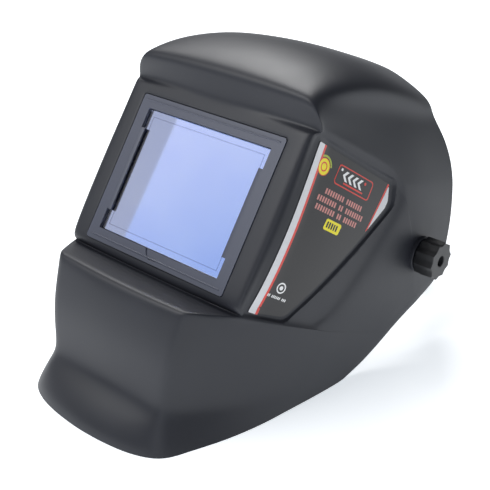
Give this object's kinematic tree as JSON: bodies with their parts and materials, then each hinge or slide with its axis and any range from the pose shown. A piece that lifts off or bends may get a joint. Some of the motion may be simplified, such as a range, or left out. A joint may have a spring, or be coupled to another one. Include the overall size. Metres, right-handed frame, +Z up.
{
  "type": "welding helmet",
  "caption": "Moulded welding helmet with a leaning lens window, plates held by a wire, lobed side knobs, and tilting headgear with a ratchet.",
  "frame": {"origin": "middle of the helmet's length and width, on the ground under the lower rim", "axes": "+X to the wearer's left, -Y to the front through the window, +Z up"},
  "size_m": [0.2476, 0.3584, 0.2204],
  "materials": {
    "shell_plastic": "fine moulded grain, satin charcoal",
    "frame_plastic": "satin, slightly bluer than the shell",
    "knob_plastic": "matt black",
    "band_plastic": "flexible, satin black",
    "padding": "foam under knitted cloth",
    "washer_rubber": "matt",
    "steel": "zinc plated",
    "brass": "turned",
    "sticker": "printed film",
    "clear_plate": "clear polycarbonate",
    "filter_glass": "polished dark filter with a pale blue reflecting face"
  },
  "bodies": {
    "mask": {"shell": "shell_plastic", "lens_frame": "frame_plastic", "cover_plate": "clear_plate", "filter_plate": "filter_glass", "inner_cover_plate": "clear_plate", "label_left": "sticker", "label_right": "sticker", "friction_washer_left": "washer_rubber", "friction_washer_right": "washer_rubber"},
    "retainer": {"retainer_wire": "steel"},
    "headgear": {"front_band": "band_plastic", "sweatband": "padding", "side_arm_left": "band_plastic", "side_arm_right": "band_plastic", "crown_strap_left": "band_plastic", "crown_strap_right": "band_plastic", "crown_peg": "knob_plastic", "stud_left": "steel", "stud_right": "steel", "tilt_stop_left": "band_plastic", "tilt_stop_right": "band_plastic", "ratchet_housing": "knob_plastic", "ratchet_cover": "knob_plastic", "nape_pad": "padding"},
    "side_knob_left": {"knob_left": "knob_plastic", "knob_nut_left": "brass"},
    "side_knob_right": {"knob_right": "knob_plastic", "knob_nut_right": "brass"},
    "ratchet_wheel": {"ratchet_knob": "knob_plastic", "ratchet_pinion": "steel"},
    "tail_left": {"rear_band_left": "band_plastic"},
    "tail_right": {"rear_band_right": "band_plastic"}
  },
  "joints": [
    {"name": "tilt", "type": "hinge", "parent": "mask", "child": "headgear", "pos_m": [0, 0.0648, 0.07], "axis": [1, 0, 0], "range_deg": [-36, 50]},
    {"name": "retainer_hinge", "type": "hinge", "parent": "mask", "child": "retainer", "pos_m": [0, -0.04366, 0.16644], "axis": [1, 0, 0], "range_deg": [0, 30]},
    {"name": "knob_turn_left", "type": "hinge", "parent": "headgear", "child": "side_knob_left", "pos_m": [0.116, 0.0648, 0.07], "axis": [1, 0, 0], "range_deg": [0, 260]},
    {"name": "knob_turn_right", "type": "hinge", "parent": "headgear", "child": "side_knob_right", "pos_m": [-0.116, 0.0648, 0.07], "axis": [-1, 0, 0], "range_deg": [0, 260]},
    {"name": "ratchet_turn", "type": "hinge", "parent": "headgear", "child": "ratchet_wheel", "pos_m": [0, 0.165, 0.052], "axis": [0, 1, 0], "range_deg": [-110, 65]},
    {"name": "tail_slide_left", "type": "slide", "parent": "headgear", "child": "tail_left", "axis": [1, 0, 0], "range_m": [-0.012, 0.007]},
    {"name": "tail_slide_right", "type": "slide", "parent": "headgear", "child": "tail_right", "axis": [-1, 0, 0], "range_m": [-0.012, 0.007]}
  ],
  "couplings": [
    {"joint": "tail_slide_left", "follows": "ratchet_turn", "m_per_rad": 0.006},
    {"joint": "tail_slide_right", "follows": "ratchet_turn", "m_per_rad": 0.006}
  ]
}
